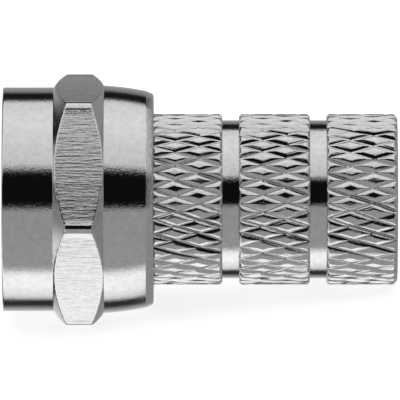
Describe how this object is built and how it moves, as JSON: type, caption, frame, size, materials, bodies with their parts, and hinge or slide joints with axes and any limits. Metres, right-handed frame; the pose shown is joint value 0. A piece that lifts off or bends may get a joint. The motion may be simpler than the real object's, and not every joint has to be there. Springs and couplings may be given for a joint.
{
  "type": "twist-on f connector",
  "caption": "Nickel-plated twist-on coaxial plug: a loose hexagon coupling nut that screws onto a socket, on a diamond-knurled sleeve that screws onto the cable's jacket.",
  "frame": {"origin": "centre of the sleeve's front face, the plane where the socket's end seats", "axes": "+X along the axis to the cable end, -X to the socket; one flat of the hexagon faces -Z"},
  "size_m": [0.019, 0.0126, 0.011],
  "materials": {
    "turned_nickel": "bright nickel plate over turned and milled brass",
    "knurled_nickel": "bright nickel plate over knurled brass"
  },
  "bodies": {
    "nut": {"coupling_nut": "turned_nickel"},
    "sleeve": {"cable_sleeve": "knurled_nickel"}
  },
  "joints": [
    {"name": "swivel", "type": "hinge", "parent": "nut", "child": "sleeve", "pos_m": [0, 0, 0], "axis": [1, 0, 0], "continuous": true}
  ]
}
